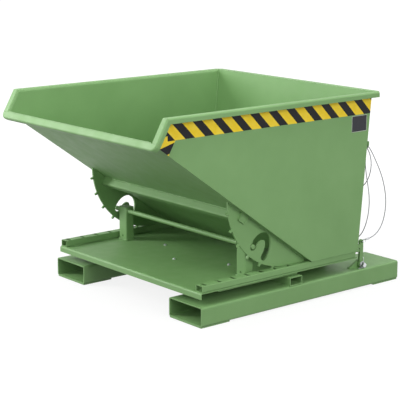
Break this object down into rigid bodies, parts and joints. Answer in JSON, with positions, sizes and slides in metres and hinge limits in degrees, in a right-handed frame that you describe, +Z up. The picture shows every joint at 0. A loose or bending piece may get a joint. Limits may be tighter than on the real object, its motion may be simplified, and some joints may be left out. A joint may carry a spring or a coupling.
{
  "type": "tipping hopper",
  "caption": "Forklift tipping hopper: a sheet-steel bucket on toothed rolling segments that rolls forward to tip on slotted rails, with a rope-pulled latch.",
  "frame": {"origin": "on the floor, under the middle of the whole hopper's box", "axes": "+X towards the pouring lip, +Y towards the latch side, +Z up"},
  "size_m": [1.3802, 1.065, 0.855],
  "materials": {
    "paint": "satin green enamel",
    "zinc": "zinc plated",
    "rope": "galvanised wire rope",
    "rope_fitting": "pressed aluminium",
    "tape": "yellow film with black slanted stripes",
    "label": "blank dark plate with a pale border"
  },
  "bodies": {
    "base": {"base_plate": "paint", "bearer_left": "paint", "bearer_right": "paint", "cross_tube_front": "paint", "cross_tube_rear": "paint", "foot_pad_front_left": "paint", "foot_pad_front_right": "paint", "foot_pad_rear_left": "paint", "foot_pad_rear_right": "paint", "fork_pocket_left": "paint", "fork_pocket_right": "paint", "guide_bar": "paint", "latch_bolt": "zinc", "latch_bracket": "paint", "latch_nut": "zinc", "latch_spring": "zinc", "plate_bolts": "zinc", "post_left": "paint", "post_right": "paint", "rail_left": "paint", "rail_right": "paint"},
    "carrier": {"roll_axis_plugs": "paint"},
    "bucket": {"catch_ear": "paint", "catch_pin": "paint", "channel_cap_left": "paint", "channel_cap_right": "paint", "cross_channel": "paint", "floor_sheet": "paint", "hazard_tape_left": "tape", "hazard_tape_right": "tape", "label_plate": "label", "lip_rim": "paint", "mouth_rim_left": "paint", "mouth_rim_right": "paint", "mouth_tape_left": "tape", "mouth_tape_right": "tape", "pull_rope": "rope", "rear_wall": "paint", "rim_left": "paint", "rim_rear": "paint", "rim_right": "paint", "rope_end_ferrule": "rope_fitting", "rope_end_ring": "rope_fitting", "rope_hook": "paint", "segment_left": "paint", "segment_right": "paint", "side_panel_left": "paint", "side_panel_right": "paint"},
    "latch": {"latch_lever": "paint", "rope_eye": "zinc", "rope_ferrule": "rope_fitting", "rope_lead": "rope"}
  },
  "joints": [
    {"name": "roll_travel", "type": "slide", "parent": "base", "child": "carrier", "axis": [1, 0, 0], "range_m": [0, 0.3728]},
    {"name": "roll", "type": "hinge", "parent": "carrier", "child": "bucket", "pos_m": [-0.04111, 0, 0.482], "axis": [0, 1, 0], "range_deg": [0, 68]},
    {"name": "latch", "type": "hinge", "parent": "base", "child": "latch", "pos_m": [-0.48261, 0.473, 0.0988], "axis": [0, -1, 0], "range_deg": [0, 28], "stiffness_Nm_per_rad": 6, "springref_deg": -28.65, "deforming": ["latch_spring", "rope_lead"]}
  ],
  "couplings": [
    {"joint": "roll_travel", "follows": "roll", "m_per_rad": 0.314}
  ]
}
